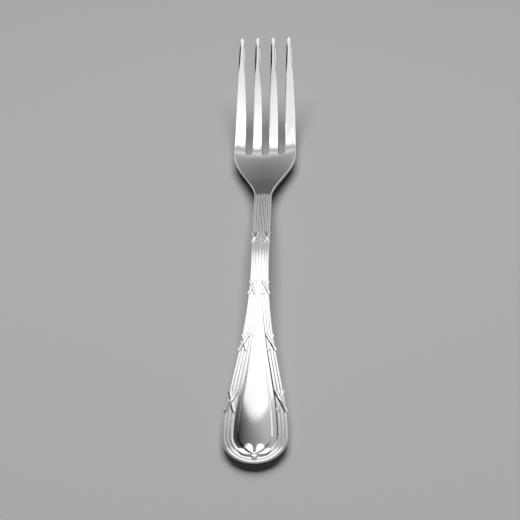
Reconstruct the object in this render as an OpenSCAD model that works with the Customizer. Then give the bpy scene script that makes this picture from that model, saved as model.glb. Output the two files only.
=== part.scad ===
// Child's table fork with a reeded border that crossed ribbons tie together.
// It lies on its back: tines towards +Y, handle towards -Y, front face up.

/* [Overall] */
// Length from the handle's end to the tine tips
fork_length = 152; // [130:1:215]
// Height of the hollow under the stem
arch_h = 4.4; // [3:0.1:10]

/* [Head and tines] */
// Width across the four tines at their roots
head_w = 19.9; // [17:0.1:26]
// Length of the tines, from the slot roots to the tips
tine_len = 38.1; // [28:0.1:50]
// Width of each inner tine at its root
inner_tine_w = 3.05; // [2.2:0.05:3.6]
// Width of the slots between the tines at their roots
slot_w = 2.2; // [1.4:0.1:2.8]
// Width of a tine just before its rounded tip
tip_w = 1.15; // [0.8:0.05:1.8]
// Distance between the centres of the two outer tips
tip_span = 15.3; // [12:0.1:16]
// Rise of the tine tips above the table
tip_rise = 16; // [6:0.1:20]
// Thickness of the tines at their tips
tip_t = 1.3; // [0.9:0.05:2]
// Thickness of the head
head_t = 2.2; // [1.6:0.05:3]
// Depth of the hollow across the head
head_dish = 0.9; // [0:0.05:1.6]
// Length of the shoulders, from the neck to the full width of the head
shoulder_len = 20.3; // [16:0.1:32]
// Straight length of the head's sides below the slot roots
head_straight = 2.1; // [1:0.1:5]

/* [Stem and handle] */
// Width of the stem at its narrowest
stem_w = 5.5; // [4.6:0.1:7]
// Thickness of the stem under its reeds
stem_t = 2.7; // [2:0.05:4]
// Length of the parallel stem, from the neck to the start of the flare
stem_len = 15.7; // [6:0.1:24]
// Width of the handle across its round end
handle_w = 18.6; // [13:0.1:24]
// Thickness of the handle under its reeds
handle_t = 1.95; // [1.4:0.05:3]
// Rise of the plain panel in the middle of the handle
panel_crown = 0.65; // [0.4:0.05:1.2]
// Width of the channel between the reeds and the panel
channel_w = 1.35; // [0.8:0.05:1.8]
// Height of the step from the channel to the panel
panel_step = 0.22; // [0.1:0.02:0.4]
// Length of the flat stretch under the handle's end
rest_len = 6.2; // [5:0.1:9]
// Depth of the ledge on which the reeds lie on the back of the handle
back_sink = 0.56; // [0.54:0.02:0.7]

/* [Reeds] */
// Width of one reed at the round end of the handle
reed_w = 1; // [0.7:0.01:1.1]
// Width of one reed on the stem
stem_reed_w = 0.74; // [0.6:0.01:0.78]
// Height of a reed on the front
reed_h = 0.36; // [0.2:0.02:0.5]
// Height of a reed on the back
back_reed_h = 0.3; // [0.2:0.02:0.34]
// Length of the reeds past the neck, on to the head
reed_run = 3.2; // [2:0.1:7]

/* [Ribbons] */
// Distance between the ribbon ties along the handle
tie_pitch = 18.9; // [12:0.1:26]
// Length of a tie on the widest part of the handle
tie_len = 7.4; // [5:0.1:9]
// Width of the ribbon in the ties
ribbon_w = 1.1; // [0.7:0.05:1.5]
// Thickness of the ribbon
ribbon_t = 0.2; // [0.12:0.02:0.3]
// Length of the upper ribbon arms of the bow at the end
bow_arm = 5.2; // [4:0.1:6.4]
// Width of the upper arms at their widest
bow_w = 2.2; // [1.4:0.1:2.6]
// Angle of the upper arms from the handle's middle line
bow_turn = 34; // [28:1:38]
// Length of the lower ribbon arms of the bow
low_arm = 4.6; // [3:0.1:5.4]
// Width of the lower arms at their widest
low_w = 1.4; // [0.8:0.1:1.6]
// Angle of the lower arms from the handle's middle line
low_turn = 84; // [80:1:88]
// Diameter of the bow's knot
knot_d = 2; // [1.4:0.1:2.4]

/* [Hidden] */
metal = "silver";

// Places along the length
y_end = -fork_length / 2;
y_tip = fork_length / 2;
y_slot = y_tip - tine_len;
y_shoulder = y_slot - head_straight;
y_neck = y_shoulder - shoulder_len;
y_flare = y_neck - stem_len;
end_r = handle_w / 2;
y_arc = y_end + end_r;
y_arch = y_flare + 0.15 * stem_len;
y_rest = y_end + rest_len;
y_reed_top = y_neck + reed_run;

// Counts
reeds = 3;
tine_rows = 14;
tip_rows = 4;
tine_sides = 14;
head_rows = 12;
stem_rows = 6;
handle_rows = 16;
arc_ribs = 18;
strand_rows = 4;
arm_rows = 7;

// Sizes worked out from those above
outer_tine_w = (head_w - 3 * slot_w - 2 * inner_tine_w) / 2;
slot_r = slot_w / 2;
slot_floor = 0.15 * slot_w;
tip_round = 1.1 * tip_w;
edge_in = 0.22;
edge_lift = 0.3;
land = 0.02;
flare_bend = 1.58;
tine_bend = 2.3;
handle_bend = 2.1;

function mix(a, b, t) = a + (b - a) * t;
function unit(t) = max(0, min(1, t));
function ease(t) = let (s = unit(t)) s * s * (3 - 2 * s);
function power(v, p) = sign(v) * pow(abs(v), p);

// How far the handle has flared at y: 0 on the stem, 1 at its round end
function flare(y) = ease(pow(unit((y_flare - y) / (y_flare - y_arc)), flare_bend));

// Half the width of the outline at y, from the round end's centre to the slot roots
function half_w(y) = y > y_neck
    ? mix(stem_w, head_w, ease((y - y_neck) / shoulder_len)) / 2
    : mix(stem_w, handle_w, flare(y)) / 2;

// Height of the back's middle line over the table at y
function back_z(y) =
    y <= y_rest ? 0 :
    y <= y_arch ? arch_h * (1 - pow((y_arch - y) / (y_arch - y_rest), handle_bend)) :
    y <= y_slot ? arch_h * (1 - ease((y - y_arch) / (y_slot - y_arch))) :
    let (s = (y - y_slot) / tine_len) tip_rise * s * s * (1.65 - 0.65 * s);

// Thickness at y, without reeds or panel
function thick(y) =
    y > y_slot ? mix(head_t, tip_t, (y - y_slot) / tine_len) :
    y > y_neck ? mix(stem_t, head_t, ease((y - y_neck) / (y_slot - y_neck))) :
    mix(stem_t, handle_t, ease((y_neck - y) / (y_neck - y_arc)));

// Lift of the head's sides over its middle, at x and y
function dish(x, y) =
    let (in_head = ease((y - y_neck) / shoulder_len), on_tines = unit((y_tip - y) / tine_len))
    head_dish * in_head * on_tines * pow(2 * x / head_w, 2);

// How much of the reeded border shows at y: all of it up to the neck, none on the head
function border(y) = ease((y_reed_top - y) / reed_run);

function reed_w_at(y) = mix(stem_reed_w, reed_w, flare(y));
function border_w(y) = reeds * reed_w_at(y);
function crown(y) = mix(reed_h, panel_crown, flare(y));
function channel_at(w, y) = min(channel_w, 0.3 * (w - border_w(y)));

// Front surface over the back's middle line, a distance d in from the outline of half width w
function front_h(d, w, y) =
    let (b = border_w(y), c = channel_at(w, y), m = unit((d - b - c) / (w - b - c)))
    d < b + c - land ? thick(y) :
    thick(y) + border(y) * mix(min(panel_step, crown(y) / 2), crown(y), 1 - pow(1 - m, 2));

// Back surface over the back's middle line, a distance d in from the outline of half width w
function back_h(d, w, y) = border(y) * back_sink * (1 - unit((d - border_w(y)) / channel_at(w, y)));
function back_border_h(y) = border(y) * back_sink;

// Distances in from the outline at which a half section has its points
function stops(w, y) =
    let (r = reed_w_at(y), c = channel_at(w, y), p = border_w(y) + c)
    [for (k = [0 : reeds]) max(edge_in, k * r), p - 0.1 * c, p, mix(p, w, 0.33), mix(p, w, 0.66), w];

// A half section as [distance in, height] pairs, from the middle of the front round the edge to the back's
function half_section(w, y) =
    let (s = stops(w, y), n = len(s) - 1)
    [for (k = [n : -1 : 0]) [s[k], front_h(s[k], w, y)],
     [0, thick(y) - edge_lift],
     [0, back_border_h(y) + edge_lift],
     for (k = [0 : n]) [s[k], back_h(s[k], w, y)]];

// A point on a straight stretch: side is -1 for the left and 1 for the right
function at_side(side, d, y, h) =
    let (x = side * (half_w(y) - d)) [x, y, back_z(y) + dish(x, y) + h];

// A point on the round end, a distance d in from the outline, at an angle from +X
function at_end(angle, d, h) =
    let (y = y_arc + (end_r - d) * sin(angle)) [(end_r - d) * cos(angle), y, back_z(y) + h];

// Closed section of the fork across y, seen from the handle
function section(y) =
    let (half = half_section(half_w(y), y), n = len(half))
    [for (k = [0 : n - 1]) at_side(1, half[k][0], y, half[k][1]),
     for (k = [n - 2 : -1 : 1]) at_side(-1, half[k][0], y, half[k][1])];

// Rows from y a to y b
function rows(a, b, count) = [for (k = [0 : count]) mix(a, b, k / count)];

// Places round the reeds' path, left side, round end and right side: [side or 0, y or angle]
reed_path = [
    for (y = rows(y_reed_top, y_neck, 2)) [-1, y],
    for (k = [1 : stem_rows]) [-1, mix(y_neck, y_flare, k / stem_rows)],
    for (k = [1 : handle_rows]) [-1, mix(y_flare, y_arc, k / handle_rows)],
    for (k = [1 : arc_ribs - 1]) [0, 180 + 180 * k / arc_ribs],
    for (k = [handle_rows : -1 : 1]) [1, mix(y_flare, y_arc, k / handle_rows)],
    for (k = [stem_rows : -1 : 1]) [1, mix(y_neck, y_flare, k / stem_rows)],
    for (y = rows(y_neck, y_reed_top, 2)) [1, y]];

function path_y(place) = place[0] == 0 ? y_arc : place[1];
function on_path(place, d, h) =
    place[0] == 0 ? at_end(place[1], d, h) : at_side(place[0], d, place[1], h);

// A solid through a row of closed sections, which all have as many points
module loft(sections) {
    n = len(sections[0]);
    last = (len(sections) - 1) * n;
    points = [for (s = sections) each s];
    sides = [for (a = [0 : n : last - n], k = [0 : n - 1])
        let (p = a + k, q = a + (k + 1) % n)
        each [[p, q, q + n], [p, q + n, p + n]]];
    caps = [[for (k = [n - 1 : -1 : 0]) k], [for (k = [0 : n - 1]) last + k]];
    polyhedron(points, concat(sides, caps), convexity = 10);
}

// How a tine narrows from root to tip, with its rounded end
function tine_half(root_w, y) =
    let (s = (y - y_slot) / tine_len, left = y_tip - y)
    (mix(tip_w, root_w, 1 - pow(s, tine_bend)) / 2) *
    (left < tip_round ? sqrt(max(0.06, 1 - pow(1 - left / tip_round, 2))) : 1);

// Round corner that a slot's end leaves on a tine's side
function root_fillet(y) =
    let (up = unit((y - y_slot) / slot_r))
    min(slot_r - slot_floor, slot_r * (1 - sqrt(1 - pow(1 - up, 2))));

// Section of a tine across y: fillets are 0 or 1, for its left and right side
function tine_section(root_x, tip_x, root_w, fillets, y) =
    let (
        x = mix(root_x, tip_x, (y - y_slot) / tine_len),
        half = tine_half(root_w, y),
        x_left = x - half - fillets[0] * root_fillet(y),
        x_right = x + half + fillets[1] * root_fillet(y),
        left = y_tip - y,
        t = thick(y) * (left < tip_round ? sqrt(max(0.06, 1 - pow(1 - left / tip_round, 2))) : 1),
        z = back_z(y) + thick(y) / 2)
    [for (k = [0 : tine_sides - 1])
        let (
            a = 90 + 360 * (k + 0.5) / tine_sides,
            px = mix(x_left, x_right, (1 + power(cos(a), 0.6)) / 2))
        [px, y, z + dish(px, y) + t / 2 * power(sin(a), 0.6)]];

module tine(root_x, tip_x, root_w, fillets) {
    fillet_rows = [for (k = [0 : 3]) y_slot + slot_r * k / 4];
    blade_rows = rows(y_slot + slot_r, y_tip - tip_round, tine_rows);
    end_rows = [for (k = [1 : tip_rows]) y_tip - tip_round * (1 - sin(90 * k / tip_rows))];
    color(metal)
        loft([for (y = concat(fillet_rows, blade_rows, end_rows))
            tine_section(root_x, tip_x, root_w, fillets, y)]);
}

inner_x = (slot_w + inner_tine_w) / 2;
outer_x = (head_w - outer_tine_w) / 2;

module tine_outer_left() tine(-outer_x, -tip_span / 2, outer_tine_w, [0, 1]);
module tine_inner_left() tine(-inner_x, -tip_span / 6, inner_tine_w, [1, 1]);
module tine_inner_right() tine(inner_x, tip_span / 6, inner_tine_w, [1, 1]);
module tine_outer_right() tine(outer_x, tip_span / 2, outer_tine_w, [1, 0]);

module head() {
    palm_rows = rows(y_slot, y_reed_top, head_rows);
    neck_rows = [mix(y_reed_top, y_neck, 0.5), y_neck];
    color(metal)
        loft([for (y = concat(palm_rows, neck_rows)) section(y)]);
}

module stem()
    color(metal)
        loft([for (y = rows(y_neck, y_flare, stem_rows)) section(y)]);

module handle()
    color(metal)
        loft([for (y = rows(y_flare, y_arc, handle_rows)) section(y)]);

// Round end of the handle, with the flat on its back on which the fork rests
module terminal() {
    half = half_section(end_r, y_arc);
    n = len(half) - 2;
    front = n * (arc_ribs + 1);
    back = front + 1;
    points = [for (k = [0 : arc_ribs], p = [1 : n]) at_end(180 + 180 * k / arc_ribs, half[p][0], half[p][1]),
              at_end(270, end_r, half[0][1]),
              at_end(270, end_r, half[n + 1][1])];
    sides = [for (k = [0 : n : front - 2 * n], p = [k : k + n - 2])
        each [[p, p + n, p + n + 1], [p, p + n + 1, p + 1]]];
    middles = [for (k = [0 : n : front - 2 * n])
        each [[front, k + n, k], [back, k + n - 1, k + 2 * n - 1]]];
    joint = [front, for (p = [0 : n - 1]) p, back, for (p = [front - 1 : -1 : front - n]) p];
    color(metal)
        polyhedron(points, concat(sides, middles, [joint]), convexity = 10);
}

// One reed of the border, counted from the outline; up is 1 on the front and -1 on the back
module reed(index, up, rise)
    color(metal)
        loft([for (place = reed_path)
            let (
                y = path_y(place),
                r = reed_w_at(y),
                base = up > 0 ? thick(y) : back_border_h(y),
                h = max(0.06, rise * border(y)),
                outer = max(edge_in, index * r),
                inner = (index + 1) * r,
                bead = [[0, 0], [0.12, 0.6], [0.5, 1], [0.88, 0.6], [1, 0]])
            [for (k = [0 : 4])
                let (b = bead[up > 0 ? k : 4 - k])
                on_path(place, mix(outer, inner, b[0]), base + up * h * b[1])]]);

module front_reed_outer() reed(0, 1, reed_h);
module front_reed_middle() reed(1, 1, reed_h);
module front_reed_inner() reed(2, 1, reed_h);
module back_reed_outer() reed(0, -1, back_reed_h);
module back_reed_middle() reed(1, -1, back_reed_h);
module back_reed_inner() reed(2, -1, back_reed_h);

// Height of the surface that a ribbon lies on, over the back's middle line
function ribbon_seat(up, y) =
    up > 0 ? thick(y) + reed_h + land : back_border_h(y) - back_reed_h - land;

// A flat ribbon across the border of one side, from [distance in, y] a to b
module strand(side, up, a, b, wide) {
    run = b - a;
    across = [run[1], -run[0]] / norm(run) * wide / 2;
    turn = -side * up;
    loft([for (k = [0 : strand_rows])
        let (
            c = mix(a, b, k / strand_rows),
            edges = turn > 0 ? [c - across, c + across] : [c + across, c - across])
        [for (e = [[0, 0], [1, 0], [1, 1], [0, 1]])
            let (p = edges[e[0]], limit = up > 0 ? half_w(p[1]) - land : border_w(p[1]))
            at_side(side, max(0, min(p[0], limit)), p[1], ribbon_seat(up, p[1]) + up * ribbon_t * e[1])]]);
}

// Two ribbons that cross over the three reeds: one whole, one in two lengths that pass under it
module tie(side, up, y) {
    share = reed_w_at(y) / reed_w;
    wide = ribbon_w * share;
    outer = wide / 4;
    inner = border_w(y);
    half = tie_len * share / 2;
    run = [inner - outer, 2 * half];
    clear = 0.5 + wide / 2 * run[1] / run[0] / norm(run) + land;
    start = [outer, y + half];
    finish = [inner, y - half];
    strand(side, up, [inner, y + half], [outer, y - half], wide);
    strand(side, up, start, mix(start, finish, 1 - clear), wide);
    strand(side, up, mix(start, finish, clear), finish, wide);
}

tie_room = y_reed_top - reed_run - tie_len / 2 - y_end;
tie_count = floor(tie_room / tie_pitch);

module ribbon_ties(up)
    color(metal)
        for (k = [1 : tie_count], side = [-1, 1])
            tie(side, up, y_end + k * tie_pitch + reed_w);

module front_ribbon_ties() ribbon_ties(1);
module back_ribbon_ties() ribbon_ties(-1);

// Top of the reeds or panel on the round end, at x and y, over the back's middle line
function end_seat(x, y) =
    let (d = end_r - norm([x, y - y_arc]))
    land + (d < border_w(y_arc) ? handle_t + reed_h : max(handle_t + reed_h, front_h(d, end_r, y_arc)));

knot_y = y_end + 1.5 * reed_w;

// A leaf-shaped ribbon arm from the knot across the reeds to the panel
module bow_arm(side, turn, long, wide) {
    aim = [side * sin(turn), cos(turn)];
    across = [aim[1], -aim[0]];
    loft([for (k = [0 : arm_rows])
        let (
            t = k / arm_rows,
            c = [0, knot_y] + aim * mix(knot_d / 2, long, t),
            half = wide / 2 * max(0.3, sin(180 * pow(t, 0.8))))
        [for (e = [[-1, 0], [0, 0], [1, 0], [1, 1], [0, 1], [-1, 1]])
            let (p = c + across * half * e[0])
            [p[0], p[1], back_z(p[1]) + end_seat(p[0], p[1]) + ribbon_t * e[1]]]]);
}

module front_bow()
    color(metal) {
        translate([0, knot_y, back_z(knot_y) + handle_t + reed_h])
            cylinder(h = 2.5 * ribbon_t, d1 = knot_d, d2 = 0.7 * knot_d, $fn = 48);
        for (side = [-1, 1]) {
            bow_arm(side, bow_turn, bow_arm, bow_w);
            bow_arm(side, low_turn, low_arm, low_w);
        }
    }

tine_outer_left();
tine_inner_left();
tine_inner_right();
tine_outer_right();
head();
stem();
handle();
terminal();
front_reed_outer();
front_reed_middle();
front_reed_inner();
back_reed_outer();
back_reed_middle();
back_reed_inner();
front_ribbon_ties();
back_ribbon_ties();
front_bow();
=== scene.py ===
import math

import bpy
import numpy as np
from mathutils import Matrix, Vector


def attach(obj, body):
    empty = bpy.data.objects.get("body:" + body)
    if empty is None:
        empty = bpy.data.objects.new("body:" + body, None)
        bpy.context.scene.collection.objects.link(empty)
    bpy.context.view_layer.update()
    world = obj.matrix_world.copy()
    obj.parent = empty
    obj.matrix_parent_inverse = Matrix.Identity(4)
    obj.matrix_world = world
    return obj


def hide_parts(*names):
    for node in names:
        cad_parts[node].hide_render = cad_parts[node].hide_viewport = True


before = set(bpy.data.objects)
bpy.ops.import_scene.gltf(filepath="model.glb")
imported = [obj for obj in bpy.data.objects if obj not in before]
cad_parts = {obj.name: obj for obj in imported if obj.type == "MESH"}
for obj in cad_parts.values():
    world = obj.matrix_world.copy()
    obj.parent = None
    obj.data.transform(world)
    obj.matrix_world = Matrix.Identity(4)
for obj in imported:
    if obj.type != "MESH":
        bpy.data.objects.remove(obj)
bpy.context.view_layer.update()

MM = 0.001
MERGE_GAP = 0.002

# Sizes of the fork in millimetres, the same as in its CAD model
FORK_LENGTH = 152.0
ARCH_HEIGHT = 4.4
HEAD_WIDTH = 19.9
TINE_LENGTH = 38.1
INNER_TINE_WIDTH = 3.05
SLOT_WIDTH = 2.2
TIP_WIDTH = 1.15
TIP_SPAN = 15.3
TIP_THICKNESS = 1.3
HEAD_THICKNESS = 2.2
HEAD_DISH = 0.9
STEM_WIDTH = 5.5
STEM_THICKNESS = 2.7
HANDLE_WIDTH = 18.6
HANDLE_THICKNESS = 1.95
CHANNEL_WIDTH = 1.35
REST_LENGTH = 6.2
BACK_SINK = 0.56
REED_WIDTH = 1.0
STEM_REED_WIDTH = 0.74
REED_HEIGHT = 0.36
BACK_REED_HEIGHT = 0.3
TIE_PITCH = 18.9

# Sizes in millimetres set by the photograph; they differ from those of the CAD model
TIP_RISE = 15.7
SHOULDER_LENGTH = 18.0
HEAD_STRAIGHT = 0.9
STEM_LENGTH = 19.2
ARCH_SETBACK = 7.85
END_REACH = 8.35
PANEL_CROWN = 0.36
REED_RUN = 1.0
TIE_LENGTH = 8.0

# How strongly the outline, the side profile and the crown of the panel bend
FLARE_BEND = 1.58
TINE_BEND = 2.3
HANDLE_BEND = 1.8
TINE_THINNING = 1.5
CROWN_BEND = 2.6
TINE_CURL = 0.65

# Roundings and slopes of the edges, in millimetres or as ratios
HANDLE_EDGE = 0.36
TINE_EDGE = 0.16
TIP_EDGE = 0.4
TIP_ROUND_RATIO = 1.1
BACK_EDGE = 0.9
BACK_EDGE_RATIO = 3
EDGE_SHARE = 0.7
DIP_REACH = 2.5
RIM_LEVEL = 0.85
END_EASE = 1.6
FILED_START, FILED_RUN, FILED_STOP = 11.5, 5.0, 1.6

# Reeds, channel and step: sizes in millimetres, shares, depth of painted shade and wear by handling
STEM_GROOVE_DEPTH, GROOVE_DEPTH = 0.15, 0.05
STEM_REED_ROUND, REED_ROUND = 3.0, 4.0
STEP_WIDTH = 0.26
STEP_SHARE = 0.25
CHANNEL_SHARE = 0.3
CHANNEL_TILT = 0.16
CHANNEL_DEPTH = 0.11
PANEL_EDGE_SINK, PANEL_EDGE_RISE = 0.02, 0.19
LEAST_REACH, LEAST_EDGE = 0.01, 0.001
REED_FADE = 1.3
REED_RAMP_AHEAD, REED_RAMP = 8.0, 14.0
BROAD_RUN = 12.0
RUBBED_REACH, RUBBED_RUN = 25.0, 20.0
# The shade values below set painted shade in the reed grooves, at the channel's foot and at the step
RUBBED_GROOVE, RUBBED_SHADE = 0.4, 0.6
REED_SHADE = 0.85
GROOVE_SHADE_BEND, CHANNEL_SHADE_BEND, STEP_SHADE = 1.5, 4, 0.5
HANDLED_BLUR, HANDLED_MARGIN = 0.3, 0.2
GROOVE_ROUGHNESS, HANDLED_ROUGHNESS = 0.25, 0.14

# Ribbon ties: sizes in millimetres, shares of a strand's length and depth of painted shade
TIE_COUNT = 4
TIE_LENGTH_BEND = 1.65
RIBBON_WIDTH = 1.2
RIBBON_THICKNESS = 0.16
RIBBON_SINK = 0.3
CROSSING_LIFT, CROSSING_RUN, UNDER_SINK = 0.1, 0.16, 0.06
STRAND_TAPER, STRAND_END_WIDTH = 0.08, 0.3
# Painted shadow line along the leaning edge of each upper strand, fading out towards its lower end
STRAND_LEAN, LEAN_SHADE_START = 0.2, 0.7
SHADE_END, SHADE_RATE = 0.8, 3
FRONT_RIM, BACK_RIM = -0.06, 0.5
OVER_INSET, UNDER_RIM_INSET, UNDER_INSET = 0.25, 0.18, 0.15
FRONT_SEAT_INSET, BACK_SEAT_INSET = 0.2, 0.07

# Bow: sizes in millimetres, turns and bends in degrees, shares and depth of painted shade
KNOT_Y, KNOT_HALF = -72.7, 1.0
KNOT_TOP, KNOT_LIFT, KNOT_LEAST = 0.9, 0.4, 0.01
KNOT_SWELL, FOLD_DEPTH, FOLD_COUNT = 1.7, 0.14, 5
UPPER_LOOP, UPPER_LOOP_WIDTH, UPPER_LOOP_TURN = 4.2, 2.6, 37.0
UPPER_LOOP_BEND, UPPER_LOOP_LAP = 10.5, 0.0
LOWER_LOOP, LOWER_LOOP_WIDTH, LOWER_LOOP_TURN = 5.2, 1.7, 72.0
LOWER_LOOP_BEND, LOWER_LOOP_LAP = 15.0, 0.85
LOOP_START, LOOP_TIP = 0.35, 0.06
LOOP_SWELL, LOOP_BLUNT = 1.6, 0.7
PETAL_TILT, PETAL_SWELL = 0.17, 0.15
# Painted shade along the edges of the bow's loops, and where across a loop it starts
PETAL_EDGE_SHADE, EDGE_SHADE_START = 0.75, 0.78

# Places along the fork and sizes that follow from those above
Y_END, Y_TIP = -FORK_LENGTH / 2, FORK_LENGTH / 2
Y_SLOT = Y_TIP - TINE_LENGTH
Y_SHOULDER = Y_SLOT - HEAD_STRAIGHT
Y_NECK = Y_SHOULDER - SHOULDER_LENGTH
Y_FLARE = Y_NECK - STEM_LENGTH
END_RADIUS = HANDLE_WIDTH / 2
Y_ARC = Y_END + END_RADIUS
Y_ARCH = Y_FLARE - ARCH_SETBACK
Y_REST = Y_END + REST_LENGTH
Y_REED_TOP = Y_NECK + REED_RUN
SLOT_ROUND = SLOT_WIDTH / 2
Y_CROTCH = Y_SLOT + SLOT_ROUND
TIP_ROUND = TIP_ROUND_RATIO * TIP_WIDTH
OUTER_TINE_WIDTH = (HEAD_WIDTH - 3 * SLOT_WIDTH - 2 * INNER_TINE_WIDTH) / 2
OUTER_X = (HEAD_WIDTH - OUTER_TINE_WIDTH) / 2
INNER_X = (SLOT_WIDTH + INNER_TINE_WIDTH) / 2
PANEL_REACH = END_RADIUS - 3 * REED_WIDTH - CHANNEL_WIDTH
BORDER_EDGE = 3 * REED_WIDTH + HANDLED_MARGIN

# Cells of the meshes; those across the tines and slots add up to those across the handle
EDGE_CELLS, REED_CELLS, CHANNEL_CELLS, STEP_CELLS, PANEL_CELLS = 5, 7, 5, 3, 30
TINE_EDGE_CELLS, OUTER_FLAT_CELLS, INNER_FLAT_CELLS, SLOT_CELLS = 6, 6, 4, 10
ARC_ROWS, HANDLE_ROWS, CROTCH_ROWS, TINE_ROWS, TIP_ROWS = 44, 206, 16, 60, 10
RIBBON_CELLS, RIBBON_ROWS = 8, 26
BORDER_CELLS = EDGE_CELLS + 3 * REED_CELLS + CHANNEL_CELLS + STEP_CELLS
COLUMNS = 2 * BORDER_CELLS + PANEL_CELLS

# Camera, fitted to the photograph: height, turn and roll in degrees, distance and aim in millimetres
CAMERA_HEIGHT, CAMERA_TURN, CAMERA_ROLL = 52.681, 6.522, -6.102
CAMERA_DISTANCE, FOCAL_PIXELS = 467.848, 1541.897
CAMERA_AIM = Vector((-0.248, -5.918, 4.0))
PICTURE_WIDTH, SENSOR_WIDTH = 520.0, 36.0

# Studio: middle and far edge of the round light in millimetres, and greys of the walls
DISC_X, DISC_FAR = -12.0, 187.0
WALL_NEAR_LEFT, WALL_FAR_LEFT = 0.02, 0.7
WALL_NEAR_RIGHT, WALL_FAR_RIGHT = 0.43, 0.7
WALL_BACK_HIGH, WALL_BACK_LOW, WALL_FRONT = 0.24, 0.11, 0.05
WINDOW_FOOT, WINDOW = 0.12, 0.95
HORIZON_FRONT, HORIZON = 0.2, 0.75
WALL_ON_FLOOR = 0.08

# Floor: its size and where its grey changes in metres, and the two greys
FLOOR_SIZE = 6.0
FLOOR_NEAR, FLOOR_FAR = -0.15, 0.15
FLOOR_LIGHT = (0.42, 0.42, 0.42, 1)
FLOOR_DARK = (0.175, 0.175, 0.175, 1)

# Where the walls' greys change: spans of a direction's part across, away from or above the fork
LEFT_SPAN, RIGHT_SPAN, BACK_SPAN = (0.33, 0.6), (0.25, 0.6), (0.75, 0.88)
SIDES_SPAN = (-0.32, 0.1)
BEHIND_SPAN, BEHIND_SPREAD = (0.4, 0.75), (0.25, 0.5)
FRONT_SPAN = (0.1, -0.28)
WINDOW_SPAN, WINDOW_RISE = (-0.32, -0.5), (0.3, 0.8)
HORIZON_SPAN, HORIZON_RISE = (-0.5, -0.1), (0.0, 0.45)


def mix(a, b, t):
    return a + (b - a) * t


def ease(t):
    t = np.clip(t, 0, 1)
    return t * t * (3 - 2 * t)


def round_over(t):
    """Height of a quarter-round edge, from 0 on the outline to 1 on the flat."""
    return np.sqrt(np.clip(1 - (1 - np.clip(t, 0, 1)) ** 2, 0, 1))


def flare(y):
    return ease(np.clip((Y_FLARE - y) / (Y_FLARE - Y_ARC), 0, 1) ** FLARE_BEND)


def tine_taper(y):
    along = np.clip((y - Y_SLOT) / TINE_LENGTH, 0, 1)
    return along, round_over((Y_TIP - y) / TIP_ROUND)


def tine_middle_and_half(root_x, tip_x, root_width, y):
    along, tip = tine_taper(y)
    return mix(root_x, tip_x, along), mix(TIP_WIDTH, root_width, 1 - along ** TINE_BEND) / 2 * tip


def half_width(y):
    """Half the width of the outline, from the round end's centre to the tine tips."""
    if y > Y_SLOT:
        middle, half = tine_middle_and_half(OUTER_X, TIP_SPAN / 2, OUTER_TINE_WIDTH, y)
        return middle + half
    if y > Y_NECK:
        return mix(STEM_WIDTH, HEAD_WIDTH, ease((y - Y_NECK) / SHOULDER_LENGTH)) / 2
    return mix(STEM_WIDTH, HANDLE_WIDTH, flare(y)) / 2


def back_line(y):
    """Height of the back's middle line; past the rest it dips below the table, where the flat cuts it."""
    drop = np.clip((Y_ARCH - y) / (Y_ARCH - Y_REST), 0, 1)
    past = np.clip(Y_REST - y, 0, None)
    slope = HANDLE_BEND * ARCH_HEIGHT / (Y_ARCH - Y_REST)
    handle = ARCH_HEIGHT * (1 - drop ** HANDLE_BEND) - slope * END_EASE * (1 - np.exp(-past / END_EASE))
    head = ARCH_HEIGHT * (1 - ease((y - Y_ARCH) / (Y_SLOT - Y_ARCH)))
    along = np.clip((y - Y_SLOT) / TINE_LENGTH, 0, 1)
    tines = TIP_RISE * along * along * (1 + TINE_CURL * (1 - along))
    return np.where(y <= Y_ARCH, handle, np.where(y <= Y_SLOT, head, tines))


def thickness(y):
    along = np.clip((y - Y_SLOT) / TINE_LENGTH, 0, 1)
    tines = mix(HEAD_THICKNESS, TIP_THICKNESS, along ** TINE_THINNING)
    head = mix(STEM_THICKNESS, HEAD_THICKNESS, ease((y - Y_NECK) / (Y_SLOT - Y_NECK)))
    handle = mix(STEM_THICKNESS, HANDLE_THICKNESS, ease((Y_NECK - y) / (Y_NECK - Y_ARC)))
    return np.where(y > Y_SLOT, tines, np.where(y > Y_NECK, head, handle))


def dish(x, y):
    """How far the head's sides stand above its middle."""
    along = np.clip((y - Y_SLOT) / TINE_LENGTH, 0, 1)
    on_head = ease((y - Y_NECK) / SHOULDER_LENGTH) * (1 - along ** TINE_THINNING)
    return HEAD_DISH * on_head * (2 * x / HEAD_WIDTH) ** 2


def reed_width(y):
    return mix(STEM_REED_WIDTH, REED_WIDTH, flare(y))


def border_width(y):
    return 3 * reed_width(y)


def reed_share(y):
    return ease((Y_REED_TOP - y) / REED_FADE)


def channel_width(width, y):
    return min(CHANNEL_WIDTH, CHANNEL_SHARE * (width - border_width(y)))


def broad_share(y):
    """0 on the stem, where the panel is no wider than a reed, to 1 on the flared handle."""
    return ease((Y_FLARE - y) / BROAD_RUN)


def reed_top(across, y):
    """Share of the groove's depth below a reed's top, across one reed; reeds are rounder on the stem."""
    return np.abs(2 * across - 1) ** mix(STEM_REED_ROUND, REED_ROUND, broad_share(y))


def rubbed_share(y):
    """How far handling has rubbed the reeds down, from 0 at the middle of the handle to 1 at its end."""
    return ease((Y_ARC + RUBBED_REACH - y) / RUBBED_RUN)


def groove_depth(y):
    rubbed = GROOVE_DEPTH * (1 - RUBBED_GROOVE * rubbed_share(y))
    return mix(STEM_GROOVE_DEPTH, rubbed, broad_share(y))


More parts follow.
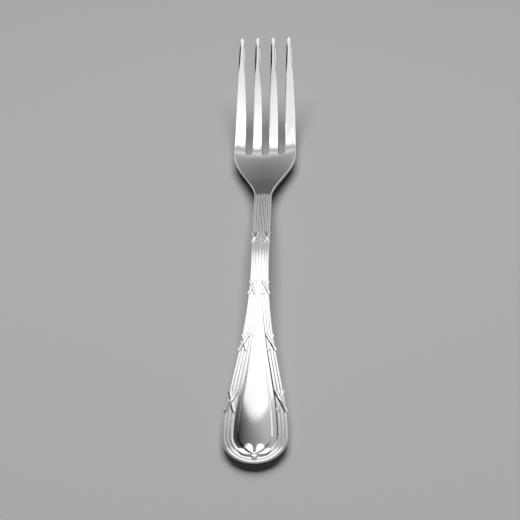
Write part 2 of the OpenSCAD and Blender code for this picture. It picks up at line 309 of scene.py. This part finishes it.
def border_columns(width, y):
    """Across one border: distance in from the outline, rise of front and of back, and depth of painted
    shade.
    """
    reed, border, channel = reed_width(y), border_width(y), channel_width(width, y)
    step = min(STEP_WIDTH, STEP_SHARE * channel)
    room = channel / CHANNEL_WIDTH
    foot = REED_HEIGHT - mix(groove_depth(y), CHANNEL_DEPTH, room)
    columns = []
    for k in range(EDGE_CELLS + 1):
        turn = math.pi / 2 * k / EDGE_CELLS
        columns.append((HANDLE_EDGE * (1 - math.cos(turn)), REED_HEIGHT, BACK_REED_HEIGHT, 0.0))
    for first, start in ((0, HANDLE_EDGE / reed), (1, 0.0), (2, 0.0)):
        for k in range(1, REED_CELLS + 1):
            across = mix(start, 1, (1 - math.cos(math.pi * k / REED_CELLS)) / 2)
            low = reed_top(max(across, 0.5) if first == 0 else across, y)
            depth = groove_depth(y)
            if first == 2 and across > 0.5:
                low, depth = low ** (1 + broad_share(y)), REED_HEIGHT - foot
            # The last value is painted shade, darkest at the bottom of each groove
            columns.append((reed * (first + across), REED_HEIGHT - depth * low,
                            BACK_REED_HEIGHT * (1 - low), low ** GROOVE_SHADE_BEND))
    # Painted shade darkens the channel towards its foot
    for k in range(1, CHANNEL_CELLS + 1):
        t = k / CHANNEL_CELLS
        columns.append((border + channel * t, foot + CHANNEL_TILT * room * t,
                        -BACK_SINK * t, (1 - t) ** CHANNEL_SHADE_BEND))
    # Fainter painted shade darkens the step towards its foot
    for k in range(1, STEP_CELLS + 1):
        t = k / STEP_CELLS
        rise = mix(foot + CHANNEL_TILT * room, panel_edge(room, y), t)
        columns.append((border + channel + step * t, rise, -BACK_SINK, STEP_SHADE * (1 - t)))
    return np.array(columns)


def panel_edge(room, y):
    """Rise of the panel's edge; room is how much of the channel's full width there is beside it."""
    return REED_HEIGHT - mix(groove_depth(y), PANEL_EDGE_SINK - PANEL_EDGE_RISE * room, broad_share(y))


def panel_rise(inward, width, inner, y):
    """Rise of the crowned panel, a distance in from the outline; inner is where it starts."""
    reach = max(width - inner, LEAST_REACH)
    t = np.clip((inward - inner) / reach, 0, 1)
    crown = PANEL_CROWN * (reach / PANEL_REACH) ** CROWN_BEND * (1 - (1 - t) ** 2)
    narrow = groove_depth(y) * (1 - reed_top(t / 2, y))
    return panel_edge(channel_width(width, y) / CHANNEL_WIDTH, y) + mix(narrow, crown, broad_share(y))


def filed_share(y):
    """How far the flanks of a tine are filed to a slope, which they are just short of its tip."""
    return ease((y - Y_TIP + FILED_START) / FILED_RUN) * ease((Y_TIP - FILED_STOP - y) / FILED_STOP)


def tine_columns(root_x, tip_x, root_width, flat_cells, y):
    """Across one tine: place and distance in from its sides."""
    middle, half = tine_middle_and_half(root_x, tip_x, root_width, y)
    edge = min(mix(TINE_EDGE, TIP_EDGE, filed_share(y)), EDGE_SHARE * half)
    side = [edge * (1 - math.cos(math.pi / 2 * k / TINE_EDGE_CELLS)) for k in range(TINE_EDGE_CELLS)]
    flat = [mix(edge, 2 * half - edge, k / flat_cells) for k in range(flat_cells + 1)]
    across = np.array(side + flat + [2 * half - d for d in reversed(side)])
    return middle - half + across, np.minimum(across, 2 * half - across), np.full(len(across), edge)


def head_columns(y):
    """Across the tines and the slots between them: place, distance in, width of edge, depth in a slot."""
    tines = [tine_columns(-OUTER_X, -TIP_SPAN / 2, OUTER_TINE_WIDTH, OUTER_FLAT_CELLS, y),
             tine_columns(-INNER_X, -TIP_SPAN / 6, INNER_TINE_WIDTH, INNER_FLAT_CELLS, y),
             tine_columns(INNER_X, TIP_SPAN / 6, INNER_TINE_WIDTH, INNER_FLAT_CELLS, y),
             tine_columns(OUTER_X, TIP_SPAN / 2, OUTER_TINE_WIDTH, OUTER_FLAT_CELLS, y)]
    place, inward, edge, turn = [], [], [], []
    for k, (x, d, e) in enumerate(tines):
        if k:
            low, high = place[-1], x[0]
            for n in range(1, SLOT_CELLS):
                angle = math.pi * (n / SLOT_CELLS - 0.5)
                place.append((low + high) / 2 + (high - low) / 2 * math.sin(angle))
                inward.append(0.0)
                edge.append(e[0])
                turn.append(math.cos(angle))
        place += list(x)
        inward += list(d)
        edge += list(e)
        turn += [0.0] * len(x)
    return np.array(place), np.array(inward), np.array(edge), np.array(turn)


ROOT_PLACE, _, _, SLOT_TURN = head_columns(Y_CROTCH)
SLOT_STARTS = [TINE_EDGE_CELLS * 2 + OUTER_FLAT_CELLS,
               TINE_EDGE_CELLS * 4 + OUTER_FLAT_CELLS + INNER_FLAT_CELLS + SLOT_CELLS,
               TINE_EDGE_CELLS * 6 + OUTER_FLAT_CELLS + 2 * INNER_FLAT_CELLS + 2 * SLOT_CELLS]


def handle_row(y, width):
    """A row of points across the stem or handle."""
    columns = border_columns(width, y)
    inner = columns[-1, 0]
    left = -width + columns[:, 0]
    panel = np.linspace(left[-1], -left[-1], PANEL_CELLS + 1)[1:-1]
    panel_in = width - np.abs(panel)
    rise = panel_rise(panel_in, width, inner, y)
    return dict(
        x=np.concatenate([left, panel, -left[::-1]]),
        y=np.full(COLUMNS + 1, y),
        inward=np.concatenate([columns[:, 0], panel_in, columns[::-1, 0]]),
        front=np.concatenate([columns[:, 1], rise, columns[::-1, 1]]),
        back=np.concatenate([columns[:, 2], np.full(len(panel), -BACK_SINK), columns[::-1, 2]]),
        shade=np.concatenate([columns[:, 3], np.zeros(len(panel)), columns[::-1, 3]]))


def end_row(turn):
    """A row of points round the end; turn goes from 0 at the very end to a right angle at its sides."""
    columns = border_columns(END_RADIUS, Y_ARC)
    inner = columns[-1, 0]
    reach = END_RADIUS - columns[:, 0]
    left_x, left_y = -reach * math.sin(turn), Y_ARC - reach * math.cos(turn) * END_REACH / END_RADIUS
    panel_x = np.linspace(left_x[-1], -left_x[-1], PANEL_CELLS + 1)[1:-1]
    panel_y = np.full(len(panel_x), left_y[-1])
    panel_in = END_RADIUS - np.hypot(panel_x, (panel_y - Y_ARC) * END_RADIUS / END_REACH)
    rise = panel_rise(panel_in, END_RADIUS, inner, Y_ARC)
    return dict(
        x=np.concatenate([left_x, panel_x, -left_x[::-1]]),
        y=np.concatenate([left_y, panel_y, left_y[::-1]]),
        inward=np.concatenate([columns[:, 0], panel_in, columns[::-1, 0]]),
        front=np.concatenate([columns[:, 1], rise, columns[::-1, 1]]),
        back=np.concatenate([columns[:, 2], np.full(len(panel_x), -BACK_SINK), columns[::-1, 2]]),
        shade=np.concatenate([columns[:, 3], np.zeros(len(panel_x)), columns[::-1, 3]]))


def head_row(y, slot_depth):
    """A row of points across the head; slot_depth is how far it dips round the slots' ends."""
    width = half_width(y)
    row = handle_row(y, width)
    spread = ease((y - Y_REED_TOP) / (Y_SHOULDER - Y_REED_TOP))
    row["x"] = mix(row["x"], ROOT_PLACE / ROOT_PLACE[-1] * width, spread)
    row["y"] = y - slot_depth * SLOT_ROUND * SLOT_TURN
    row["inward"] = width - np.abs(row["x"])
    row["slot"] = np.full(COLUMNS + 1, FORK_LENGTH)
    for start in SLOT_STARTS:
        low, high = ROOT_PLACE[start], ROOT_PLACE[start + SLOT_CELLS]
        middle, half = (low + high) / 2, (high - low) / 2
        away = np.hypot(row["x"] - middle, (row["y"] - Y_CROTCH) * half / SLOT_ROUND) - half
        row["slot"] = np.minimum(row["slot"], np.maximum(away, 0))
    return row


def tine_row(y):
    place, inward, edge, _ = head_columns(y)
    zero = np.zeros(COLUMNS + 1)
    return dict(x=place, y=np.full(COLUMNS + 1, y), inward=inward, edge=edge,
                front=zero, back=zero, shade=zero)


def fork_rows():
    """All rows of points from the handle's end to the tine tips."""
    rows = [end_row(math.pi / 2 * k / ARC_ROWS) for k in range(ARC_ROWS)]
    dip_start = Y_CROTCH - DIP_REACH * SLOT_ROUND
    for k in range(HANDLE_ROWS + 1):
        y = mix(Y_ARC, dip_start, k / HANDLE_ROWS)
        rows.append(handle_row(y, half_width(y)) if y < Y_REED_TOP else head_row(y, 0))
    for k in range(1, CROTCH_ROWS + 1):
        t = k / CROTCH_ROWS
        rows.append(head_row(mix(dip_start, Y_CROTCH, t), t))
    crotch = len(rows) - 1
    for k in range(1, TINE_ROWS + 1):
        rows.append(tine_row(mix(Y_CROTCH, Y_TIP - TIP_ROUND, k / TINE_ROWS)))
    for k in range(1, TIP_ROWS + 1):
        rows.append(tine_row(Y_TIP - TIP_ROUND * (1 - math.sin(math.pi / 2 * k / TIP_ROWS))))
    return rows, crotch


def row_heights(row):
    """Front and back heights of a row's points."""
    x, y = row["x"], row["y"]
    thick, line = thickness(y), back_line(y)
    share = reed_share(y)
    head = ease((y - Y_NECK) / SHOULDER_LENGTH)
    edge = row.get("edge", mix(HANDLE_EDGE, TINE_EDGE, head))
    back_edge = mix(BACK_EDGE, BACK_EDGE_RATIO * edge, head)
    across_edge = np.clip(row["inward"] / np.maximum(edge, LEAST_EDGE), 0, 1)
    round_off = mix(round_over(across_edge), across_edge, filed_share(y))
    back_off = round_over(row["inward"] / np.maximum(back_edge, LEAST_EDGE))
    if "slot" in row:
        round_off = round_off * round_over(row["slot"] / TINE_EDGE)
        back_off = back_off * round_over(row["slot"] / TINE_EDGE)
    tip = round_over((Y_TIP - y) / TIP_ROUND)
    tops = REED_HEIGHT * ease((Y_REED_TOP + REED_RAMP_AHEAD - y) / REED_RAMP)
    front_flat = thick + tops - share * (REED_HEIGHT - row["front"])
    back_flat = share * (BACK_SINK - np.abs(row["back"]))
    level = line + dish(x, y)
    middle = level + thick * RIM_LEVEL
    front = middle + (level + front_flat - middle) * round_off * tip
    back = middle + (level + back_flat - middle) * back_off * tip
    return np.maximum(front, 0), np.maximum(back, 0)


def select_only(piece):
    bpy.ops.object.select_all(action="DESELECT")
    piece.select_set(True)
    bpy.context.view_layer.objects.active = piece


def add_grid(name, across, along):
    """A flat grid of cells; returns it with the column and row of each of its points."""
    bpy.ops.object.select_all(action="DESELECT")
    bpy.ops.mesh.primitive_grid_add(x_subdivisions=across, y_subdivisions=along, size=2)
    piece = bpy.context.object
    piece.name = name
    piece.data.name = name
    flat = np.empty(len(piece.data.vertices) * 3)
    piece.data.vertices.foreach_get("co", flat)
    flat = flat.reshape(-1, 3)
    column = np.rint((flat[:, 0] + 1) / 2 * across).astype(int)
    row = np.rint((flat[:, 1] + 1) / 2 * along).astype(int)
    return piece, column, row


def set_points(piece, points):
    piece.data.vertices.foreach_set("co", (np.asarray(points) * MM).ravel())
    piece.data.update()


def set_mask(piece, name, values):
    mask = piece.data.attributes.new(name, "FLOAT", "POINT")
    mask.data.foreach_set("value", np.asarray(values, dtype=np.float32))


def close_shell(piece):
    """Merges the meeting edges of a piece's sheets, closes its ends and turns its faces outwards."""
    select_only(piece)
    bpy.ops.object.mode_set(mode="EDIT")
    bpy.ops.mesh.select_all(action="SELECT")
    bpy.ops.mesh.remove_doubles(threshold=MERGE_GAP * MM)
    bpy.ops.mesh.fill_holes(sides=0)
    bpy.ops.mesh.normals_make_consistent(inside=False)
    bpy.ops.object.mode_set(mode="OBJECT")
    bpy.ops.object.shade_smooth()


def make_fork_body():
    """Tines, head, stem and reeded handle as one smooth shell of a front and a back sheet."""
    rows, crotch = fork_rows()
    x = np.array([r["x"] for r in rows])
    y = np.array([r["y"] for r in rows])
    heights = [row_heights(r) for r in rows]
    inward = np.array([r["inward"] for r in rows])
    # Painted shade in the grooves, the channel and the step, weaker where handling has rubbed the reeds
    # down
    shade = np.array([r["shade"] * REED_SHADE * reed_share(r["y"]) for r in rows])
    shade = shade * (1 - RUBBED_SHADE * rubbed_share(y))
    handled = rubbed_share(y) * ease((BORDER_EDGE - inward) / HANDLED_BLUR)
    sheets = []
    for name, which in (("fork_body", 0), ("fork_back", 1)):
        z = np.array([h[which] for h in heights])
        sheet, column, row = add_grid(name, COLUMNS, len(rows) - 1)
        set_points(sheet, np.stack([x[row, column], y[row, column], z[row, column]], axis=1))
        # The groove mask carries the painted shade
        set_mask(sheet, "groove", shade[row, column])
        set_mask(sheet, "handled", handled[row, column])
        bpy.ops.object.mode_set(mode="EDIT")
        bpy.ops.mesh.select_mode(type="FACE")
        bpy.ops.mesh.select_all(action="DESELECT")
        bpy.ops.object.mode_set(mode="OBJECT")
        for face in sheet.data.polygons:
            first_row = min(int(row[v]) for v in face.vertices)
            first_column = min(int(column[v]) for v in face.vertices)
            in_slot = any(start <= first_column < start + SLOT_CELLS for start in SLOT_STARTS)
            face.select = first_row >= crotch and in_slot
        bpy.ops.object.mode_set(mode="EDIT")
        bpy.ops.mesh.delete(type="FACE")
        bpy.ops.object.mode_set(mode="OBJECT")
        sheets.append(sheet)
    select_only(sheets[0])
    sheets[1].select_set(True)
    bpy.ops.object.join()
    close_shell(sheets[0])
    return sheets[0]


def outline_distance(x, y):
    """How far in from the outline of the handle a point lies."""
    if y > Y_ARC:
        return half_width(y) - abs(x)
    return END_RADIUS - math.hypot(x, (y - Y_ARC) * END_RADIUS / END_REACH)


def front_seat(x, y):
    """Height of the handle's front under a ribbon: level over the reeds, bridging to the panel."""
    thick, inward = float(thickness(y)), outline_distance(x, y)
    row_y = max(y, Y_ARC)
    width, border = half_width(row_y), border_width(row_y)
    inner = border_columns(width, row_y)[-1, 0]
    panel = float(panel_rise(max(inward, inner), width, inner, row_y))
    rise = mix(REED_HEIGHT, panel, float(ease((inward - border) / (inner - border))))
    drop = float(round_over(max(inward, FRONT_SEAT_INSET) / HANDLE_EDGE))
    return float(back_line(y)) + mix(RIM_LEVEL * thick, thick + rise, drop)


def back_seat(x, y):
    """Height of the handle's back under a ribbon."""
    thick, inward = float(thickness(y)), outline_distance(x, y)
    drop = float(round_over(max(inward, BACK_SEAT_INSET) / BACK_EDGE))
    return float(back_line(y)) + mix(RIM_LEVEL * thick, BACK_SINK - BACK_REED_HEIGHT, drop)


def flat_section(across):
    """A ribbon's section: nearly level, with rounded edges."""
    return (1 - np.abs(across) ** 3) ** 0.5


def make_ribbon(name, path, halves, lift, seat, section, side, lean=0.0, edge_shade=0.0):
    """A closed ribbon along a path of points; side is 1 on top of its seat and -1 below it."""
    rows, columns = len(path) - 1, 2 * RIBBON_CELLS
    path = np.array(path)
    heading = np.gradient(path, axis=0)
    heading /= np.linalg.norm(heading, axis=1)[:, None]
    strip, column, row = add_grid(name, columns, rows)
    points, shade = [], []
    for c, r in zip(column, row):
        turn = math.pi * c / RIBBON_CELLS
        across = -math.cos(turn)
        x = path[r, 0] - heading[r, 1] * halves[r] * across
        y = path[r, 1] + heading[r, 0] * halves[r] * across
        level = seat(x, y)
        height = -RIBBON_SINK
        if c <= RIBBON_CELLS:
            height = lift(r, y) + RIBBON_THICKNESS * section(across) * (1 + lean * across)
        points.append((x, y, level + side * height * (1 if 0 < c % RIBBON_CELLS else 0)))
        # A painted shadow line along an upper strand's leaning edge, fading out towards the strand's
        # lower end
        if lean * across > LEAN_SHADE_START * abs(lean) and c <= RIBBON_CELLS:
            shade.append(min(max(SHADE_RATE * (SHADE_END - r / rows), 0), 1))
        else:
            # Painted shade along both edges, which parts the bow's loops with grey lines
            shade.append(edge_shade if abs(across) > EDGE_SHADE_START else 0.0)
    set_points(strip, points)
    set_mask(strip, "groove", shade)
    set_mask(strip, "handled", np.zeros(len(points)))
    close_shell(strip)
    return strip


def join_pieces(name, pieces):
    select_only(pieces[0])
    for piece in pieces[1:]:
        piece.select_set(True)
    bpy.ops.object.join()
    pieces[0].name = name
    pieces[0].data.name = name
    return pieces[0]


def over_lift(row, _y):
    """The upper strand rises where it crosses the lower one."""
    return CROSSING_LIFT * math.exp(-((row / RIBBON_ROWS - 0.5) / CROSSING_RUN) ** 2)


def under_lift(_row, _y):
    return -UNDER_SINK


def make_ties(name, seat, side):
    """Crossed ribbons over the reeds of one face of the handle, a row of them along each border."""
    strands = []
    t = np.linspace(0, 1, RIBBON_ROWS + 1)
    ends = np.clip(np.minimum(t, 1 - t) / STRAND_TAPER, 0, 1)
    rim = FRONT_RIM if side > 0 else BACK_RIM
    for number in range(TIE_COUNT):
        middle = Y_END + (number + 1) * TIE_PITCH + REED_WIDTH
        share = border_width(middle) / (3 * REED_WIDTH)
        length = TIE_LENGTH * share ** TIE_LENGTH_BEND
        half = RIBBON_WIDTH / 2 * share * mix(STRAND_END_WIDTH, 1, ends)
        y = middle + length * (0.5 - t)
        outline = np.array([half_width(v) for v in y])
        deep = np.array([border_width(v) for v in y])
        under = outline - mix(rim + UNDER_RIM_INSET, deep - UNDER_INSET, t)
        over = outline - mix(deep - OVER_INSET, rim, t)
        for hand in (-1, 1):
            strands.append(make_ribbon("strand", np.stack([hand * under, y], 1), half,
                                       under_lift, seat, flat_section, side))
            strands.append(make_ribbon("strand", np.stack([hand * over, y], 1), half,
                                       over_lift, seat, flat_section, side, lean=STRAND_LEAN * hand))
    return join_pieces(name, strands)


def petal_section(across):
    """A loop of the bow: level across, with rounded edges."""
    return (1 - across ** 4) ** 0.5 * (1 + PETAL_SWELL * across ** 2)


def knot_section(across):
    """The knot: rounded, with small upright folds."""
    folds = 1 - FOLD_DEPTH * (1 - np.cos(FOLD_COUNT * math.pi * across))
    return KNOT_SWELL * (1 - across ** 2) ** 0.5 * folds


def petal_lift(top):
    """A loop leans up from its top towards the end of the handle."""
    return lambda _row, y: PETAL_TILT * max(top - y, 0)


def knot_lift(_row, y):
    return KNOT_LIFT + PETAL_TILT * (KNOT_Y - y)


def make_bow():
    """The bow at the handle's end: four loops and a folded knot."""
    pieces = []
    t = np.linspace(0, 1, RIBBON_ROWS + 1)
    for arm, width, turn, bend, lap in (
            (UPPER_LOOP, UPPER_LOOP_WIDTH, UPPER_LOOP_TURN, UPPER_LOOP_BEND, UPPER_LOOP_LAP),
            (LOWER_LOOP, LOWER_LOOP_WIDTH, LOWER_LOOP_TURN, LOWER_LOOP_BEND, LOWER_LOOP_LAP)):
        out = mix(LOOP_START, arm, t)
        angle = np.radians(turn - bend * (t - 0.5))
        half = width / 2 * np.sin(math.pi * t ** LOOP_SWELL) ** LOOP_BLUNT + LOOP_TIP
        top = KNOT_Y + arm * math.cos(math.radians(turn)) + lap
        for hand in (-1, 1):
            path = np.stack([hand * out * np.sin(angle), KNOT_Y + out * np.cos(angle)], 1)
            pieces.append(make_ribbon("loop", path, half, petal_lift(top), front_seat,
                                      petal_section, 1, edge_shade=PETAL_EDGE_SHADE))
    path = np.stack([0 * t, KNOT_Y + KNOT_HALF * mix(KNOT_TOP, -1, t)], 1)
    half = KNOT_HALF * np.sqrt(np.clip(1 - (2 * t - 1) ** 2, KNOT_LEAST, 1))
    pieces.append(make_ribbon("knot", path, half, knot_lift, front_seat, knot_section, 1))
    return join_pieces("end_bow", pieces)


def set_constant(shader, values):
    for socket, value in values.items():
        shader.inputs[socket].default_value = value


def silver_surface_group():
    """Fine rubbing marks and cloudy handling of old polished silver, with shade painted dark into grooves
    and along edges.
    """
    group = bpy.data.node_groups.new("silver_surface", "ShaderNodeTree")
    for name, kind, value in (("Bright Metal", "NodeSocketColor", (0.93, 0.927, 0.92, 1)),
                              ("Painted Shade Metal", "NodeSocketColor", (0.2, 0.19, 0.17, 1)),
                              ("Polish", "NodeSocketFloat", 0.08),
                              ("Rubbing", "NodeSocketFloat", 0.06)):
        socket = group.interface.new_socket(name, in_out="INPUT", socket_type=kind)
        socket.default_value = value
    for name, kind in (("Color", "NodeSocketColor"), ("Roughness", "NodeSocketFloat"),
                       ("Marks", "NodeSocketFloat")):
        group.interface.new_socket(name, in_out="OUTPUT", socket_type=kind)
    nodes, links = group.nodes, group.links
    inputs, outputs = nodes.new("NodeGroupInput"), nodes.new("NodeGroupOutput")
    place = nodes.new("ShaderNodeTexCoord")
    clouds = nodes.new("ShaderNodeTexNoise")
    set_constant(clouds, {"Scale": 120.0, "Detail": 4.0, "Roughness": 0.6})
    links.new(place.outputs["Object"], clouds.inputs["Vector"])
    stretch = nodes.new("ShaderNodeMapping")
    stretch.inputs["Scale"].default_value = (2600.0, 260.0, 2600.0)
    stretch.inputs["Rotation"].default_value = (0.0, 0.0, 0.12)
    links.new(place.outputs["Object"], stretch.inputs["Vector"])
    scratches = nodes.new("ShaderNodeTexNoise")
    set_constant(scratches, {"Scale": 1.0, "Detail": 2.0, "Roughness": 0.5})
    links.new(stretch.outputs["Vector"], scratches.inputs["Vector"])
    # The groove mask holds painted shade: it darkens the colour and roughens the surface
    groove = nodes.new("ShaderNodeAttribute")
    groove.attribute_name = "groove"
    painted_shade_share = nodes.new("ShaderNodeMapRange")
    set_constant(painted_shade_share, {"From Min": 0.25, "From Max": 1.0, "To Min": 0.0, "To Max": 0.85})
    links.new(groove.outputs["Fac"], painted_shade_share.inputs["Value"])
    tone = nodes.new("ShaderNodeMix")
    tone.data_type = "RGBA"
    links.new(painted_shade_share.outputs["Result"], tone.inputs["Factor"])
    links.new(inputs.outputs["Bright Metal"], tone.inputs["A"])
    links.new(inputs.outputs["Painted Shade Metal"], tone.inputs["B"])
    links.new(tone.outputs["Result"], outputs.inputs["Color"])
    cloudy = nodes.new("ShaderNodeMath")
    cloudy.operation = "MULTIPLY_ADD"
    links.new(clouds.outputs["Fac"], cloudy.inputs[0])
    links.new(inputs.outputs["Rubbing"], cloudy.inputs[1])
    links.new(inputs.outputs["Polish"], cloudy.inputs[2])
    dull = nodes.new("ShaderNodeMath")
    dull.operation = "MULTIPLY_ADD"
    dull.inputs[1].default_value = GROOVE_ROUGHNESS
    links.new(painted_shade_share.outputs["Result"], dull.inputs[0])
    links.new(cloudy.outputs["Value"], dull.inputs[2])
    handled = nodes.new("ShaderNodeAttribute")
    handled.attribute_name = "handled"
    soft = nodes.new("ShaderNodeMath")
    soft.operation = "MULTIPLY_ADD"
    soft.inputs[1].default_value = HANDLED_ROUGHNESS
    links.new(handled.outputs["Fac"], soft.inputs[0])
    links.new(dull.outputs["Value"], soft.inputs[2])
    links.new(soft.outputs["Value"], outputs.inputs["Roughness"])
    links.new(scratches.outputs["Fac"], outputs.inputs["Marks"])
    return group


def silver_material(name, group, polish, marks):
    material = bpy.data.materials.new(name)
    material.use_nodes = True
    nodes, links = material.node_tree.nodes, material.node_tree.links
    shader = nodes["Principled BSDF"]
    set_constant(shader, {"Metallic": 1.0, "IOR": 1.45})
    surface = nodes.new("ShaderNodeGroup")
    surface.node_tree = group
    surface.inputs["Polish"].default_value = polish
    bump = nodes.new("ShaderNodeBump")
    set_constant(bump, {"Strength": marks, "Distance": 0.00002})
    links.new(surface.outputs["Color"], shader.inputs["Base Color"])
    links.new(surface.outputs["Roughness"], shader.inputs["Roughness"])
    links.new(surface.outputs["Marks"], bump.inputs["Height"])
    links.new(bump.outputs["Normal"], shader.inputs["Normal"])
    return material


def set_material(piece, material):
    piece.data.materials.clear()
    piece.data.materials.append(material)


def make_camera():
    height, turn, roll = (math.radians(v) for v in (CAMERA_HEIGHT, CAMERA_TURN, CAMERA_ROLL))
    level = math.cos(height)
    back = Vector((math.sin(turn) * level, -math.cos(turn) * level, math.sin(height)))
    right = (-back).cross(Vector((0, 0, 1))).normalized()
    up = right.cross(-back)
    axis_x = right * math.cos(roll) + up * math.sin(roll)
    axis_y = up * math.cos(roll) - right * math.sin(roll)
    data = bpy.data.cameras.new("camera")
    data.sensor_width = SENSOR_WIDTH
    data.lens = FOCAL_PIXELS / PICTURE_WIDTH * SENSOR_WIDTH
    camera = bpy.data.objects.new("camera", data)
    bpy.context.scene.collection.objects.link(camera)
    place = (CAMERA_AIM + back * CAMERA_DISTANCE) * MM
    turned = Matrix((axis_x, axis_y, back)).transposed().to_4x4()
    camera.matrix_world = Matrix.Translation(place) @ turned
    data.clip_start, data.clip_end = 0.01, 50.0
    bpy.context.scene.camera = camera


def make_lamp(name, data, place, area, brightness, on_floor=False):
    """Hangs an area lamp for the metal to mirror, as white as its brightness, or one for the floor."""
    data.energy = brightness * math.pi * area
    lamp = bpy.data.objects.new(name, data)
    bpy.context.scene.collection.objects.link(lamp)
    lamp.location = place
    lamp.visible_camera = False
    lamp.visible_diffuse = on_floor
    lamp.visible_glossy = not on_floor


def make_light_panel(name, corner, opposite, brightness, on_floor=False):
    """A level rectangular light panel between two corners."""
    low, high = Vector(corner) * MM, Vector(opposite) * MM
    data = bpy.data.lights.new(name, "AREA")
    data.shape = "RECTANGLE"
    data.size, data.size_y = high.x - low.x, high.y - low.y
    make_lamp(name, data, (low + high) / 2, data.size * data.size_y, brightness, on_floor)


def make_light_disc(name, near, height, brightness):
    """One layer of the round light panel: a level disc from its near edge to the common far edge."""
    data = bpy.data.lights.new(name, "AREA")
    data.shape = "DISK"
    data.size = (DISC_FAR - near) * MM
    place = Vector((DISC_X, (near + DISC_FAR) / 2, height)) * MM
    make_lamp(name, data, place, math.pi / 4 * data.size ** 2, brightness)


def make_floor():
    bpy.ops.object.select_all(action="DESELECT")
    bpy.ops.mesh.primitive_plane_add(size=FLOOR_SIZE)
    floor = bpy.context.object
    floor.name = "floor"
    material = bpy.data.materials.new("pale_floor")
    material.use_nodes = True
    nodes, links = material.node_tree.nodes, material.node_tree.links
    shader = nodes["Principled BSDF"]
    set_constant(shader, {"Roughness": 0.9, "Specular IOR Level": 0.1})
    place = nodes.new("ShaderNodeTexCoord")
    axes = nodes.new("ShaderNodeSeparateXYZ")
    links.new(place.outputs["Object"], axes.inputs["Vector"])
    away = nodes.new("ShaderNodeMapRange")
    set_constant(away, {"From Min": FLOOR_NEAR, "From Max": FLOOR_FAR})
    links.new(axes.outputs["Y"], away.inputs["Value"])
    tone = nodes.new("ShaderNodeMix")
    tone.data_type = "RGBA"
    tone.inputs["A"].default_value = FLOOR_LIGHT
    tone.inputs["B"].default_value = FLOOR_DARK
    links.new(away.outputs["Result"], tone.inputs["Factor"])
    links.new(tone.outputs["Result"], shader.inputs["Base Color"])
    set_material(floor, material)


def make_world():
    """Studio walls: dark overhead on the near left, lighter at the sides, with a high window in front."""
    world = bpy.data.worlds.new("studio")
    world.use_nodes = True
    nodes, links = world.node_tree.nodes, world.node_tree.links
    place = nodes.new("ShaderNodeTexCoord")
    axes = nodes.new("ShaderNodeSeparateXYZ")
    links.new(place.outputs["Generated"], axes.inputs["Vector"])

    def ramp(source, span, low, high):
        node = nodes.new("ShaderNodeMapRange")
        set_constant(node, {"From Min": span[0], "From Max": span[1], "To Min": low, "To Max": high})
        links.new(source, node.inputs["Value"])
        return node.outputs["Result"]

    def join(operation, first, second):
        node = nodes.new("ShaderNodeMath")
        node.operation = operation
        links.new(first, node.inputs[0])
        links.new(second, node.inputs[1])
        return node.outputs["Value"]

    def blend(factor, first, second):
        node = nodes.new("ShaderNodeMix")
        links.new(factor, node.inputs["Factor"])
        links.new(first, node.inputs["A"])
        links.new(second, node.inputs["B"])
        return node.outputs["Result"]

    across, away, up = axes.outputs["X"], axes.outputs["Y"], axes.outputs["Z"]
    left = ramp(away, LEFT_SPAN, WALL_NEAR_LEFT, WALL_FAR_LEFT)
    right = ramp(away, RIGHT_SPAN, WALL_NEAR_RIGHT, WALL_FAR_RIGHT)
    back = ramp(away, BACK_SPAN, WALL_BACK_HIGH, WALL_BACK_LOW)
    sides = blend(ramp(across, SIDES_SPAN, 0.0, 1.0), left, right)
    spread = join("ABSOLUTE", across, across)
    behind = join("MULTIPLY", ramp(away, BEHIND_SPAN, 0.0, 1.0), ramp(spread, BEHIND_SPREAD, 1.0, 0.0))
    walls = blend(behind, sides, back)
    overhead = join("MULTIPLY", walls, ramp(away, FRONT_SPAN, 1.0, WALL_FRONT))
    window = join("MULTIPLY", ramp(away, WINDOW_SPAN, 0.0, 1.0),
                  ramp(up, WINDOW_RISE, WINDOW_FOOT, WINDOW))
    horizon = join("MULTIPLY", ramp(away, HORIZON_SPAN, HORIZON_FRONT, 1.0),
                   ramp(up, HORIZON_RISE, HORIZON, 0.0))
    level = join("MAXIMUM", overhead, join("MAXIMUM", window, horizon))
    path = nodes.new("ShaderNodeLightPath")
    level = join("MULTIPLY", level, ramp(path.outputs["Is Diffuse Ray"], (0.0, 1.0), 1.0, WALL_ON_FLOOR))
    links.new(level, nodes["Background"].inputs["Color"])
    bpy.context.scene.world = world


bpy.context.scene.view_settings.view_transform = "Standard"
make_camera()
make_world()
make_floor()
make_light_disc("overhead_disc_rim", near=14, height=225, brightness=0.25)
make_light_disc("overhead_disc_middle", near=16, height=226, brightness=0.3)
make_light_disc("overhead_disc_core", near=18, height=227, brightness=0.24)
make_light_panel("left_panel", (-260, 90, 228), (-60, 187, 228), brightness=0.45)
make_light_panel("right_panel", (50, 70, 228), (260, 187, 228), brightness=0.45)
make_light_panel("right_wing", (105, 5, 228), (260, 70, 228), brightness=0.5)
make_light_panel("back_strip", (-78, 214, 225), (78, 232, 225), brightness=0.35)
make_light_panel("back_glow", (-78, 232, 225), (78, 248, 225), brightness=0.14)
make_light_panel("back_fill", (-350, 430, 600), (350, 1300, 600), brightness=19.0, on_floor=True)

surface_group = silver_surface_group()
polished = silver_material("polished_silver", surface_group, polish=0.07, marks=0.2)

body = make_fork_body()
set_material(body, polished)
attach(body, "root")
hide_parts("tine_outer_left", "tine_inner_left", "tine_inner_right", "tine_outer_right",
            "head", "stem", "handle", "terminal",
            "front_reed_outer", "front_reed_middle", "front_reed_inner",
            "back_reed_outer", "back_reed_middle", "back_reed_inner")

relief = silver_material("relief_silver", surface_group, polish=0.1, marks=0.1)
front_ties = make_ties("front_ties", front_seat, 1)
back_ties = make_ties("back_ties", back_seat, -1)
end_bow = make_bow()
for piece, node in ((front_ties, "front_ribbon_ties"), (back_ties, "back_ribbon_ties"),
                    (end_bow, "front_bow")):
    set_material(piece, relief)
    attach(piece, "root")
    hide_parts(node)
